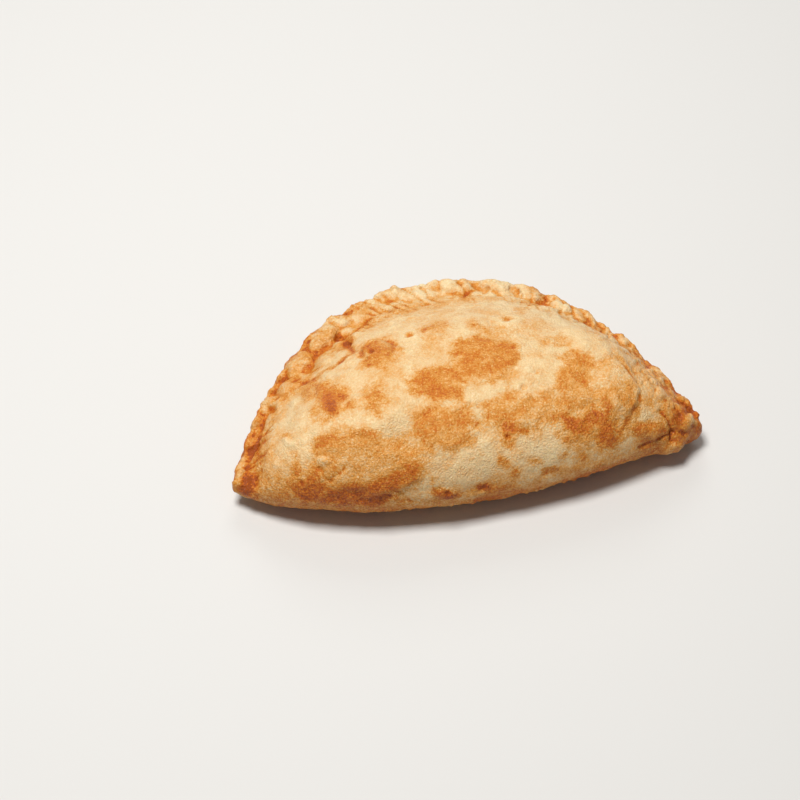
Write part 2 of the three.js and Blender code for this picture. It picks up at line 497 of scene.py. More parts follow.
# %% [markdown]
# ## One closed skin
# The shells and the lip still pass through the case. A voxel remesh keeps only the outside of it all,
# which leaves one closed skin of even squares, fine enough for bubbles of 2 mm. A little smoothing
# melts the shells into the rope.

# %% One closed skin
SKIN_GRID = 0.64 * MM
SKIN_SMOOTHING = 7  # rounds
apply_modifier(case, "REMESH", mode="VOXEL", voxel_size=SKIN_GRID)
apply_modifier(case, "SMOOTH", factor=0.5, iterations=SKIN_SMOOTHING)
bpy.ops.object.shade_smooth()
points, normals = read_points(case)
print("skin:", len(points), "points,", len(case.data.loops) - 2 * len(case.data.polygons), "triangles")

# %% [markdown]
# ## Blisters and creases
# Steam lifts the skin off the filling in shallow blisters, and the dough cracks or folds between
# them. Each of these has its own place, so they are made as a sculptor would, by pushing the
# skin's points in or out along its normals, with a profile worked out from the distance.

# %% Measuring on the skin
def noise_at(spots, size, seed):
    """Cloud noise from about -1 to 1 with lumps of this size, in millimetres."""
    shift = Vector((seed * 17.3, seed * 5.1, seed * 9.7))
    return np.array([noise.noise(Vector(s) / size + shift) for s in spots])


FAR = 99.0
PLANE_REACH = 24.0  # a spot marks no skin further than this above or below its own plane
FACING_AWAY = -0.2  # and none that faces this far away from it
# The unevenness that the borders of all spots share, in lumps of 9 mm and of 3.5 mm.
wobble = 0.5 * noise_at(points, 9.0, 1) + 0.35 * noise_at(points, 3.5, 2)


def spot_coordinates(place, turn):
    """Distances of all points from a place, along and across a turned oval, or FAR if out of sight."""
    along, across, out = stand_on(points, normals, np.array(place))
    rel = points - place
    angle = math.radians(turn)
    u, v = rel @ along, rel @ across
    hidden = (np.abs(rel @ out) > PLANE_REACH) | (normals @ out < FACING_AWAY)
    u, v = u * math.cos(angle) + v * math.sin(angle), v * math.cos(angle) - u * math.sin(angle)
    return np.where(hidden, FAR, u), np.where(hidden, FAR, v)


def oval(place, half_length, half_width, turn, uneven=0.3):
    """0 in the middle of an oval, 1 on its uneven border, and more outside it."""
    u, v = spot_coordinates(place, turn)
    return np.hypot(u / half_length, v / half_width) * (1 + uneven * wobble)


def groove_distance(route):
    """The distance of every point from a route, in millimetres."""
    nearest = np.full(len(points), FAR)
    for start, end in zip(route, route[1:]):
        start, step = np.array(start), np.subtract(end, start)
        share = np.clip((points - start) @ step / (step @ step), 0, 1)
        gap = np.linalg.norm(points - start - share[:, None] * step, axis=1)
        nearest = np.minimum(nearest, gap)
    return nearest


print("wobble from", round(float(wobble.min()), 2), "to", round(float(wobble.max()), 2))

# %% [markdown]
# Twisting gathers the rope, so fine folds run across it at a slant and die out on the dome. They lie
# where a stretched cloud pattern passes through zero, which gives long thin lines that join and part
# like real folds.

# %% Folds across the rope
FOLD_SPACING, FOLD_LENGTH, FOLD_HEIGHT = 4.2, 12.0, 14.0  # along the rope, across it and upwards
FOLD_SLANT = 0.5  # how far a fold runs sideways for each millimetre inwards
FOLD_WAVER = 1.5  # how far it strays from that, in millimetres
FOLD_DEPTH, FOLD_SHARPNESS = 0.50, 0.16
LIP_ONLY = 0.42  # how much narrower the rope is at the left, where little more than the lip shows
LIP_REACH = 2.4  # how far in from the outside the lip is browner, in millimetres
from_edge, along, whole = along_the_edge(points)
share = along / whole
to_the_right = smooth(-HALF_LENGTH, 0.5 * HALF_LENGTH, points[:, 0])
rope_width = ROPE_LEFT + (ROPE_RIGHT - ROPE_LEFT) * to_the_right
rope_width *= 1 - LIP_ONLY * smooth(0.80, 0.86, share)
rope = 1 - smooth(0.6, 1.05, from_edge / rope_width)
edge = np.exp(-((from_edge / LIP_REACH) ** 2))
slanted = along + FOLD_SLANT * from_edge + FOLD_WAVER * wobble
gathered = 1 - smooth(0.7, 1.7, from_edge / rope_width)
folds = np.zeros(len(points))
for i in np.flatnonzero(gathered > 0.02):
    across, up = from_edge[i] / FOLD_LENGTH, points[i, 2] / FOLD_HEIGHT
    cloud = noise.noise(Vector((slanted[i] / FOLD_SPACING, across, up)))
    folds[i] = math.exp(-((cloud / FOLD_SHARPNESS) ** 2))
# They are half as deep at the right tip and on the large shells at the left.
folds *= gathered * (1 - 0.5 * smooth(60, 70, points[:, 0]))
folds *= 1 - 0.5 * smooth(0.60, 0.68, share) * (1 - smooth(0.84, 0.88, share))
print("folds reach", round(float((folds > 0.5).mean()), 2), "of the skin")

# %% Blisters, pits and creases
# Place, half length, half width, turn in degrees, rise, how much of it is level, and the side where it
# drops off sharply, in degrees, or None.
BLISTERS = (
    ((49.5, -23.5, 30.5), 15.0, 9.2, 65, 1.6, 0.55, -30),
    ((44.5, -36.0, 26.5), 8.0, 3.6, -75, 0.6, 0.3, None),
    ((-37.5, -40.5, 27.0), 20.0, 12.0, -6, 0.9, 0.5, -40),
    ((-26.5, 4.2, 30.0), 9.6, 6.4, -80, 1.6, 0.5, 120),
    ((-23.7, 3.4, 30.7), 4.0, 2.6, -87, 0.4, 0.3, None),
    ((69.0, -35.5, 9.0), 8.0, 5.5, 0, 2.2, 0.1, None),
    ((75.0, -29.5, 15.0), 3.6, 2.4, 27, 0.7, 0.3, None),
    ((-46.0, -17.0, 31.0), 8.0, 5.2, -65, 0.6, 0.2, None),
    ((-9.5, -34.0, 32.5), 9.5, 8.0, -5, 0.4, 0.7, None),
    ((8.5, -8.5, 35.0), 12.5, 11.0, 49, 0.4, 0.7, None),
    ((37.0, -20.0, 33.0), 11.4, 9.3, 66, 0.4, 0.5, None),
    ((16.5, -31.0, 33.0), 12.5, 7.3, -5, 0.3, 0.5, None),
    ((-51.5, -36.5, 27.0), 2.4, 2.2, 0, 0.8, 0.1, None),
    ((-11.5, -48.5, 16.5), 5.2, 3.0, -17, 0.7, 0.3, None),
    ((19.5, 12.0, 29.0), 4.4, 3.4, 60, 0.6, 0.4, None),
    ((-60.5, -27.0, 25.5), 4.6, 2.0, -47, 0.7, 0.2, None),
    ((-62.0, -23.5, 24.0), 3.0, 1.6, -47, 0.5, 0.2, None),
    ((-48.0, -7.0, 28.0), 5.4, 3.0, 90, 0.5, 0.2, None),
    ((60.0, -36.0, 19.5), 7.0, 3.4, -19, 0.6, 0.3, None),
)
# Small pits where a bubble burst: place, radius, depth, and the rise of the ring around it.
PITS = (
    ((-28.8, 3.6, 29.8), 1.2, 0.9, 0.1),
    ((-15.0, 10.0, 29.5), 1.8, 0.5, 0.35),
    ((19.5, 12.0, 29.0), 1.9, 0.4, 0.6),
    ((18.8, -21.8, 34.7), 1.2, 0.6, 0.2),
    ((24.0, -17.0, 34.5), 0.9, 0.6, 0.2),
    ((7.5, 10.0, 31.5), 1.1, 0.5, 0.2),
    ((-51.5, -36.5, 27.0), 0.8, 0.2, 0.2),
    ((-59.0, -39.5, 20.5), 1.0, 0.3, 0.3),
    ((10.5, -38.5, 30.0), 0.8, 0.6, 0.2),
    ((-11.5, -48.5, 17.0), 1.0, 0.6, 0.1),
)
# Grooves: depth, half width, and the points they pass through.
CREASES = (
    # from the rope edge down beside the raised lobe
    (1.2, 1.8, ((-37.0, 26.0, 13.0), (-36.0, 22.0, 15.5), (-35.5, 19.0, 18.5))),
    (0.8, 1.3, ((-35.5, 18.0, 19.0), (-35.0, 14.0, 22.5), (-34.5, 10.5, 24.5))),
    (0.45, 1.3, ((-34.0, 12.0, 24.5), (-31.5, 14.5, 23.5), (-28.0, 15.0, 24.5), (-24.0, 11.5, 27.2),
                 (-20.5, 7.0, 29.7))),
    (0.45, 1.4, ((-33.0, 9.5, 25.7), (-37.5, 7.0, 25.4), (-42.0, 4.0, 25.1), (-47.0, 3.0, 22.9),
                 (-53.0, 3.5, 17.1))),
    # the foot of the dome at the left
    (0.6, 1.0, ((-59.0, 1.0, 13.4), (-56.0, 3.0, 14.5), (-53.0, 3.5, 17.1))),
    # inside the lip at the left
    (0.6, 0.9, ((-76.5, -26.0, 10.5), (-73.0, -18.0, 12.0), (-70.0, -12.0, 12.4), (-68.0, -7.0, 12.5),
                (-66.5, -3.5, 13.0))),
    # the cracked skin of the lowest patch
    (0.5, 0.6, ((-53.0, -38.0, 25.0), (-51.5, -39.0, 24.6), (-51.5, -40.5, 23.5), (-49.5, -42.0, 22.5))),
    (0.4, 0.6, ((-49.5, -42.0, 22.5), (-48.0, -40.5, 24.0), (-46.0, -41.0, 24.9), (-43.5, -39.0, 26.5))),
    (0.4, 0.7, ((-29.3, -46.7, 20.3), (-26.0, -47.8, 17.7), (-24.0, -48.6, 15.0))),
    # beside the large blister at the right
    (0.5, 0.9, ((53.0, -11.5, 30.0), (55.5, -17.0, 29.0), (57.5, -23.0, 27.5), (57.5, -29.0, 25.0),
                (54.0, -34.0, 23.5))),
    # the foot of the dome at the right
    (0.5, 0.8, ((58.0, 9.0, 14.5), (61.5, 3.0, 15.5), (64.5, -5.0, 17.0), (66.0, -12.0, 19.0),
                (66.0, -20.0, 22.0))),
    (0.6, 0.9, ((56.0, -39.0, 15.7), (60.6, -37.5, 15.5), (65.2, -35.6, 15.5), (69.1, -34.0, 15.0))),
    (0.8, 0.8, ((65.0, -30.0, 21.8), (67.0, -32.0, 19.4), (68.3, -34.2, 15.3), (67.6, -35.5, 12.6))),
    (0.7, 0.7, ((71.0, -27.0, 18.7), (72.2, -30.1, 17.0), (72.7, -32.4, 14.3))),
)
STEEPEST = 0.82  # no level top reaches further than this share of the way to the border
PIT_UNEVEN = 0.8
RING_AT, RING_WIDTH = 1.5, 0.5  # in radii of the pit
FOLD_SHADE = 0.6  # how much painted shade a fold gets, compared with a crease


def sideways(place, side):
    """1 towards a side of a place, given in degrees, and -1 away from it."""
    u, v = spot_coordinates(place, 0)
    return np.cos(np.arctan2(v, u) - math.radians(side))


push = -FOLD_DEPTH * folds
for place, half_length, half_width, turn, rise, level, sharp in BLISTERS:
    reach = oval(place, half_length, half_width, turn)
    if sharp is not None:
        facing = sideways(place, sharp)
        level = level * (0.72 + 0.28 * facing) + 0.3 * smooth(0.2, 1, facing)
        level = np.clip(level, 0, STEEPEST)
    push += rise * (1 - smooth(level, 1, reach))
for place, radius, depth, ring in PITS:
    reach = oval(place, radius, radius, 0, PIT_UNEVEN)
    push -= depth * np.exp(-(reach**2))
    push += ring * np.exp(-(((reach - RING_AT) / RING_WIDTH) ** 2))
# Creases and folds are darkened in the colour: painted shade.
painted_crease_shade = FOLD_SHADE * folds
for depth, half_width, route in CREASES:
    cut = np.exp(-((groove_distance(route) * (1 + 0.3 * wobble) / half_width) ** 2))
    push -= depth * cut
    painted_crease_shade = np.maximum(painted_crease_shade, cut * min(1, depth))
print("blisters:", len(BLISTERS), "pits:", len(PITS), "creases:", len(CREASES))

# %% [markdown]
# Between them the skin is full of small bubbles of 2 to 4 mm, anywhere on the top, and rough burrs
# stand out low on the front, mostly right of the middle. A seeded dice throws each of them onto the
# skin.

# %% Small bubbles and burrs
SMALL_BUBBLES, BURRS = 190, 70
BURRS_AT, BURRS_SPREAD = 28.0, 26.0  # along the empanada, in millimetres
OVERHANG = 2.5  # a bubble that would land further than this beside the empanada is dropped
IN_FRONT = -0.35  # burrs sit only where the y of the skin's normal is below this
spots = []
for _ in range(SMALL_BUBBLES):
    x, y = chance.uniform(-78, 78), chance.uniform(-44, 46)
    place = top_at(points, x, y)
    if math.hypot(place[0] - x, place[1] - y) < OVERHANG:
        spots.append((place, chance.uniform(0.9, 2.0), chance.uniform(0.20, 0.50)))
not_in_front = np.where(normals[:, 1] < IN_FRONT, 0, FAR)
for _ in range(BURRS):
    x, z = np.clip(chance.normal(BURRS_AT, BURRS_SPREAD), -60, 70), chance.uniform(2.5, 11)
    place = points[np.argmin(np.abs(points[:, 0] - x) + np.abs(points[:, 2] - z) + not_in_front)]
    spots.append((place, chance.uniform(0.7, 1.6), chance.uniform(0.20, 0.65)))
for place, radius, rise in spots:
    reach = np.linalg.norm(points - place, axis=1) / radius
    push += rise * np.exp(-(reach**2) * (1 + 0.4 * wobble))
points += normals * push[:, None]
write_points(case, points)
print("small bubbles and burrs:", len(spots))

# %% [markdown]
# ## Toasted patches
# Where the skin is thin over a blister it browns first. Each patch is an oval with a ragged border.
# Colour is kept as one number, the toast level, from 0 for cream to 1 for dark brown. For every point
# the skin keeps the level of the plain dough, the level of the nearest patch, and how far inside that
# patch it lies, so that the material can draw the border as finely as it likes. Later patches lie over
# earlier ones.

# %% Toasted patches
# Place, half length, half width, turn in degrees, level, softness of the border in millimetres, how
# much browner the border is, and the side where it is so, in degrees, or None all round.
PATCHES = (
    # the top of the dome, from left to right
    ((-46.0, -14.0, 30.5), 10.5, 5.4, -79, 0.56, 3.0, 0, None),
    ((-47.5, -8.0, 28.0), 6.0, 2.6, -79, 0.64, 2.4, 0, None),
    ((-46.0, -14.0, 30.5), 3.4, 2.2, -80, 0.84, 1.6, 0, None),
    ((-45.5, -19.5, 32.5), 4.2, 2.8, -76, 0.96, 1.6, 0, None),
    ((-41.0, -15.5, 32.5), 3.8, 1.9, -53, 0.80, 1.6, 0, None),
    ((-40.0, -19.5, 34.0), 2.8, 1.5, 87, 0.66, 1.6, 0, None),
    ((-31.5, -20.0, 36.0), 6.0, 3.6, 85, 0.66, 2.0, 0, None),
    ((-25.5, 4.5, 30.0), 9.0, 5.6, -80, 0.59, 2.4, 0, None),
    ((-29.5, 6.5, 28.5), 4.4, 4.2, -84, 0.71, 2.0, 0, None),
    ((-28.0, 0.5, 31.0), 3.6, 5.2, -84, 0.68, 2.0, 0, None),
    ((-28.8, 3.4, 29.8), 2.2, 1.6, 88, 0.86, 1.2, 0, None),
    ((-10.0, -16.5, 35.5), 8.4, 7.4, -20, 0.65, 2.2, 0.09, 230),
    ((-2.0, -13.0, 35.5), 7.0, 5.0, 35, 0.60, 2.2, 0, None),
    ((9.5, -7.0, 34.5), 11.4, 10.0, 60, 0.62, 2.2, 0.09, 60),
    ((2.5, -1.5, 33.5), 4.8, 4.2, 78, 0.62, 2.0, 0, None),
    ((-9.6, -33.5, 32.5), 9.3, 8.3, -4, 0.55, 2.0, 0.07, None),
    ((20.0, 5.0, 31.5), 9.0, 6.0, 20, 0.34, 5.0, 0, None),
    ((-4.8, 10.5, 31.0), 5.6, 4.2, -85, 0.44, 2.2, 0.12, 90),
    ((-9.8, 11.0, 30.5), 2.3, 1.8, 0, 0.70, 1.3, 0, None),
    ((-15.0, 10.0, 29.5), 4.8, 3.6, -84, 0.10, 2.6, 0, None),
    ((-15.0, 10.3, 29.5), 2.6, 1.7, -71, 0.48, 1.2, 0, None),
    ((7.5, 10.0, 31.5), 2.6, 1.8, 80, 0.50, 1.8, 0, None),
    ((19.5, 12.0, 29.0), 4.6, 3.4, 77, 0.10, 2.4, 0, None),
    ((19.5, 12.5, 29.0), 2.2, 1.6, 0, 0.46, 1.2, 0, None),
    ((26.5, 20.5, 23.5), 4.2, 2.6, 67, 0.44, 1.8, 0, None),
    ((33.0, -1.5, 32.0), 4.6, 2.6, 8, 0.46, 1.6, 0, None),
    ((14.0, -30.8, 33.0), 9.4, 6.8, -4, 0.54, 2.4, 0, None),
    ((25.0, -31.0, 32.0), 7.0, 5.6, 8, 0.52, 2.4, 0, None),
    ((38.5, -22.5, 32.8), 12.2, 9.0, 72, 0.58, 2.0, 0, None),
    ((50.0, -21.0, 30.5), 14.0, 8.6, 66, 0.37, 1.8, 0.16, -35),
    ((40.0, -36.5, 27.0), 12.0, 7.4, -11, 0.55, 2.6, 0, None),
    ((44.5, -29.0, 30.0), 11.0, 4.0, -4, 0.52, 3.0, 0, None),
    ((56.5, -19.5, 28.0), 7.5, 1.2, -72, 0.58, 1.5, 0, None),
    ((56.0, -29.5, 25.0), 6.5, 1.2, 72, 0.60, 1.5, 0, None),
    ((54.0, -27.5, 28.0), 8.0, 3.0, 67, 0.58, 2.6, 0, None),
    ((33.0, -35.5, 28.5), 6.4, 2.2, -24, 0.76, 1.8, 0, None),
    ((39.5, -34.5, 28.5), 6.4, 2.3, 27, 0.78, 1.8, 0, None),
    ((44.0, -35.0, 26.5), 8.0, 2.2, 81, 0.79, 1.6, 0, None),
    ((45.0, -39.5, 22.5), 3.4, 2.2, 73, 0.86, 1.6, 0, None),
    ((52.0, -34.5, 25.5), 6.4, 1.4, 51, 0.66, 1.6, 0, None),
    ((10.7, -37.0, 30.3), 3.6, 2.4, 81, 0.78, 1.6, 0, None),
    ((16.0, -37.0, 30.5), 4.2, 1.5, 12, 0.64, 1.5, 0, None),
    # the folded side in front
    ((-38.5, -39.5, 27.5), 19.0, 11.2, -2, 0.49, 2.4, 0.08, None),
    ((-49.5, -31.0, 30.5), 5.6, 3.0, 15, 0.66, 2.0, 0, None),
    ((-43.0, -46.5, 17.0), 14.0, 4.2, 0, 0.79, 2.2, 0, None),
    ((-56.0, -41.5, 19.0), 6.6, 5.6, 17, 0.79, 2.0, 0, None),
    ((-39.0, -46.0, 20.0), 9.0, 3.8, 0, 0.79, 2.2, 0, None),
    ((-22.0, -44.0, 25.0), 4.4, 2.8, -87, 0.66, 2.4, 0, None),
    ((-28.5, -45.5, 22.5), 9.0, 3.4, 8, 0.76, 2.2, 0, None),
    ((-51.5, -36.5, 27.0), 2.3, 2.0, 0, 0.32, 1.3, 0, None),
    ((-59.5, -36.0, 23.0), 3.9, 1.9, -75, 0.62, 1.5, 0, None),
    ((-11.5, -48.5, 16.3), 4.8, 2.1, -12, 0.94, 1.2, 0, None),
    ((0.5, -48.0, 17.0), 1.9, 1.3, -22, 0.78, 1.1, 0, None),
    ((8.2, -44.5, 24.0), 2.6, 1.4, -66, 0.60, 1.1, 0, None),
    ((11.5, -46.3, 20.2), 1.7, 1.1, -84, 0.58, 1.1, 0, None),
    ((7.5, -48.4, 13.6), 2.2, 1.4, -28, 0.66, 1.3, 0, None),
    ((18.0, -44.3, 23.0), 2.2, 1.2, -12, 0.54, 1.1, 0, None),
    ((28.5, -43.5, 22.0), 1.9, 1.2, 6, 0.60, 1.1, 0, None),
    ((35.0, -43.0, 20.0), 2.6, 1.3, -9, 0.58, 1.2, 0, None),
    ((24.5, -45.5, 18.0), 2.9, 1.2, 2, 0.62, 1.2, 0, None),
    ((-71.0, -35.0, 15.0), 9.0, 4.0, -5, 0.50, 3.0, 0, None),
    ((-67.0, -39.5, 9.0), 11.0, 3.5, 0, 0.60, 3.0, 0, None),
    # paler bubbles and smears at the left; the first is partly paler dough, partly a painted wet
    # highlight
    ((-60.5, -27.0, 25.5), 4.8, 2.4, -47, 0.24, 2.2, 0, None),
    ((-67.5, -24.0, 18.5), 3.4, 1.8, -57, 0.52, 2.0, 0, None),
    ((-62.0, -22.0, 24.0), 3.6, 1.5, -45, 0.50, 1.6, 0, None),
    # the tips
    ((63.0, -15.0, 24.0), 10.0, 5.0, 90, 0.38, 4.0, 0, None),
    ((-76.0, -31.0, 11.0), 4.6, 3.4, 85, 0.96, 2.0, 0, None),
    ((60.0, -36.0, 19.8), 7.2, 3.5, -19, 0.66, 1.7, 0, None),
    ((62.0, -37.0, 10.5), 12.0, 4.5, 8, 0.58, 2.8, 0, None),
    ((67.5, -30.5, 20.0), 5.0, 3.6, 67, 0.60, 2.2, 0, None),
    ((74.5, -32.0, 12.5), 8.6, 7.0, -49, 0.72, 2.6, 0.08, None),
    ((75.2, -29.5, 14.5), 2.4, 1.6, -7, 0.46, 1.4, 0, None),
    # the rope edge
    ((-35.6, 19.5, 17.5), 6.5, 2.6, 86, 0.66, 2.0, 0, None),
    ((-34.8, 12.0, 23.5), 4.0, 1.5, 86, 0.68, 1.8, 0, None),
    ((-48.8, 22.2, 12.1), 3.4, 2.2, 86, 0.66, 1.8, 0, None),
    ((-52.5, -3.0, 23.0), 7.0, 2.0, 86, 0.64, 2.2, 0, None),
    ((-50.0, -0.5, 23.5), 4.6, 2.2, -67, 0.62, 2.0, 0, None),
    ((-38.0, 6.8, 25.3), 6.4, 1.2, 30, 0.62, 1.3, 0, None),
    ((-48.5, 3.2, 21.0), 6.4, 1.2, -2, 0.62, 1.3, 0, None),
    ((-70.0, -12.0, 12.4), 11.0, 1.2, 68, 0.62, 1.6, 0, None),
    ((10.0, 38.5, 12.3), 3.2, 2.3, 87, 0.58, 1.8, 0, None),
    ((37.7, 35.6, 10.5), 3.2, 1.8, 79, 0.60, 1.5, 0, None),
    ((-16.0, 33.0, 14.0), 3.4, 1.6, 60, 0.56, 1.8, 0, None),
    ((-27.0, 29.0, 14.5), 4.0, 2.0, 40, 0.56, 2.0, 0, None),
    # paler tops of the largest shells, partly paler dough and partly a painted highlight
    ((-54.5, 17.0, 14.5), 5.4, 4.4, 70, 0.48, 2.4, 0, None),
    ((-43.5, 26.5, 14.0), 5.6, 4.4, 55, 0.49, 2.4, 0, None),
    ((-31.5, 38.0, 11.0), 4.2, 3.2, 10, 0.48, 2.0, 0, None),
    ((-60.4, 4.5, 15.0), 3.8, 3.0, -66, 0.44, 2.0, 0, None),
    ((-61.0, -4.0, 15.5), 4.0, 1.8, -66, 0.28, 2.0, 0, None),
    ((-65.5, 5.0, 11.5), 4.4, 1.4, -72, 0.28, 1.4, 0, None),
    ((-7.0, 39.0, 12.0), 6.0, 2.6, 5, 0.22, 2.4, 0, None),
    # guessed ones on the side away from the eye and underneath
    ((-5.0, 30.0, 3.0), 16.0, 7.0, 4, 0.60, 2.6, 0.08, None),
    ((34.0, 18.0, 3.0), 12.0, 6.0, -38, 0.58, 2.6, 0, None),
    ((-40.0, 10.0, 3.0), 11.0, 6.0, 40, 0.64, 2.6, 0, None),
    ((-30.0, -20.0, 0.0), 17.0, 11.0, 12, 0.62, 2.8, 0.10, None),
    ((2.0, -2.0, 0.0), 14.0, 9.0, -25, 0.58, 2.8, 0.08, None),
    ((32.0, -18.0, 0.0), 15.0, 9.0, 20, 0.64, 2.8, 0.08, None),
    ((-58.0, -18.0, 0.5), 9.0, 6.0, 60, 0.68, 2.6, 0, None),
    ((60.0, -20.0, 0.5), 8.0, 6.0, -30, 0.66, 2.6, 0, None),
    ((0.0, -26.0, 0.0), 10.0, 5.0, 0, 0.56, 2.6, 0, None),
)
PATCH_UNEVEN = 0.4
BORDER_AT, BORDER_WIDTH = 1.2, 2.0  # the browner border, in millimetres inside the edge of a patch
DEEPEST = 6  # the distance from a border is kept up to this many times its softness
OPEN_DOUGH = -1.5  # below this no earlier patch is near, so there is nothing to blend with
toast = np.full(len(points), -FAR)
tone = np.zeros(len(points))
for place, half_length, half_width, turn, dark, softness, border, browner in PATCHES:
    size = math.sqrt(half_length * half_width)
    inside = (1 - oval(place, half_length, half_width, turn, PATCH_UNEVEN)) * size
    ring = border * np.exp(-(((inside - BORDER_AT) / BORDER_WIDTH) ** 2))
    if browner is not None:
        ring *= smooth(-0.2, 0.8, sideways(place, browner))
    inside = np.clip(inside / softness, -DEEPEST, DEEPEST)
    cover = np.where(toast < OPEN_DOUGH, inside > toast, smooth(-1.0, 1.0, inside))
    tone += (dark + ring - tone) * cover
    toast = np.maximum(toast, inside)
print("patches:", len(PATCHES), "cover", round(float((toast > 0).mean()), 2), "of the skin")

# %% The toast level of plain dough
# Palest on the top, more golden at the left, low on the sides and at the right tip. Low on the sides
# this is partly real toasting and partly painted shade. These are the level of the top, and what each
# part of the empanada adds to it.
ON_TOP, AT_LEFT, AT_RIGHT, LOW_SIDES_TOAST_AND_SHADE = 0.245, 0.07, 0.16, 0.34
LOW_RIGHT_TOAST_AND_SHADE, BY_PATCHES, CLOUDED = 0.07, 0.05, 0.09
ON_ROPE, ROPE_AT_LEFT, ROPE_AT_RIGHT = -0.06, 0.20, 0.12
WARMTH_REACH = 2.2  # how far a patch warms the dough around it, in softnesses of its border
left = 1 - smooth(-70, -10, points[:, 0])
right = smooth(52, 74, points[:, 0])
side = 1 - smooth(8, 24, points[:, 2])
nearby = np.exp(np.minimum(toast, 0) / WARMTH_REACH)
# Darker low on the sides: partly real toasting, partly painted shade.
base = ON_TOP + AT_LEFT * left + AT_RIGHT * right + LOW_SIDES_TOAST_AND_SHADE * side * (1 - rope)
base += BY_PATCHES * nearby
base += CLOUDED * wobble
base += LOW_RIGHT_TOAST_AND_SHADE * side * smooth(15, 35, points[:, 0])
base += rope * (ON_ROPE + ROPE_AT_LEFT * left + ROPE_AT_RIGHT * smooth(20, 60, points[:, 0]))
print("plain dough from", round(float(base.min()), 2), "to", round(float(base.max()), 2))

# %% [markdown]
# ## Fine relief
# Fried dough is never smooth. Cloud textures push the skin into soft lumps and pebbles, and cell
# textures add bubbles with creases between them: large ones on the left half of the rope, small ones
# towards the right, and the finest where the skin is toasted and low on the sides.

# %% Fine relief
WEIGHT_STEPS = 20
RELIEFS = (
    # name, texture, size of its lumps and height in millimetres, and where, or "" for everywhere
    ("soft lumps", "CLOUDS", 11.0, 1.1, ""),
    ("large bubbles", "VORONOI", 6.5, -0.7, "wide_rope"),
    ("small bubbles", "VORONOI", 3.4, -0.75, "narrow_rope"),
    ("pebbles", "CLOUDS", 3.6, 0.48, ""),
    ("blister bubbles", "VORONOI", 2.4, -0.35, "bubbly"),
    ("grit", "CLOUDS", 1.3, 0.32, "bubbly"),
)


def weights(piece, name, values):
    """Keeps one number per point as a vertex group, for a modifier to read."""
    group = piece.vertex_groups.new(name=name)
    for step in range(1, WEIGHT_STEPS + 1):
        members = np.flatnonzero(np.round(values * WEIGHT_STEPS) == step)
        group.add([int(i) for i in members], step / WEIGHT_STEPS, "REPLACE")


def relief(piece, name, kind, size, height, where):
    """Pushes the skin out by a texture whose lumps have this size, both in millimetres."""
    texture = bpy.data.textures.new(name, kind)
    texture.noise_scale = size * MM
    if kind == "VORONOI":
        texture.distance_metric = "DISTANCE"
    apply_modifier(
        piece, "DISPLACE", texture=texture, strength=height * MM, mid_level=0.5,
        texture_coords="LOCAL", direction="NORMAL", vertex_group=where,
    )


toasted = smooth(-1.0, 1.0, toast)
narrow = smooth(-35, 45, points[:, 0])
weights(case, "wide_rope", rope * (1 - narrow))
weights(case, "narrow_rope", rope * narrow)
# A few bubbles are everywhere, and more on toasted skin, on the rope, low down and at the right tip.
bubbly = 0.25 + 0.4 * toasted + 0.35 * rope + 0.8 * side + 0.5 * right
weights(case, "bubbly", np.clip(bubbly, 0, 1))
for row in RELIEFS:
    relief(case, *row)
case.vertex_groups.clear()
print("layers of relief:", len(RELIEFS))

# %% [markdown]
# ## Resting flat
# Its own weight presses the underside flat. Points that the relief pushed below the surface are
# brought back up to it.

# %% Resting flat
points, normals = read_points(case)
points[:, 2] = np.maximum(points[:, 2], 0.0)
write_points(case, points)
print("lowest point:", round(float(points[:, 2].min()), 3), "mm")

# %% [markdown]
# ## Hollows
# How deep each point lies below the skin around it is measured by smoothing a copy of the points and
# comparing. The colour uses it for painted shade in the hollows and a painted highlight on the rises.

# %% Hollows
NARROW_ROUNDS, WIDE_ROUNDS = 10, 70  # rounds of smoothing that fill a wrinkle, and a fold
kept = {
    "base": base,
    "toast": toast,
    "tone": tone,
    "rope": rope,
    "side": side * (1 - rope),
    "edge": edge,
    "crease_shade": painted_crease_shade,
    # depths below the skin around, for painted shade in hollows and painted highlight on rises
    "painted_hollow_shading": ((smoothed(case, points, NARROW_ROUNDS) - points) * normals).sum(1),
    "painted_wide_hollow_shading": ((smoothed(case, points, WIDE_ROUNDS) - points) * normals).sum(1),
}
for name, values in kept.items():
    attribute = case.data.attributes.new(name, "FLOAT", "POINT")
    attribute.data.foreach_set("value", values.astype(np.float32))
    print(name, "from", round(float(values.min()), 2), "to", round(float(values.max()), 2))

# %% [markdown]
# ## Fried dough
# Wheat dough fried in clean fat: cream where it is thick, straw and gold where it is thin, and
# brown on the blisters. All of these lie on one ramp of colour, because they are one thing,
# browning, at different stages. So the material first adds up a toast level from what the skin keeps
# and from cloud patterns, and only then turns it into a colour. The level also carries painted shade
# in hollows, creases and low on the sides, and painted highlights on rises and as pale specks. Fat
# leaves the skin satin, with tiny glints on the smallest bubbles, and a little light passes through it.

# %% Fried dough: what the level is made from
dough, tree, shader = new_material("fried wheat dough")
place_on_dough = add_node(tree, "ShaderNodeTexCoord").outputs["Object"]
field = {}
for name in kept:
    field[name] = add_node(tree, "ShaderNodeAttribute", attribute_name=name).outputs["Fac"]
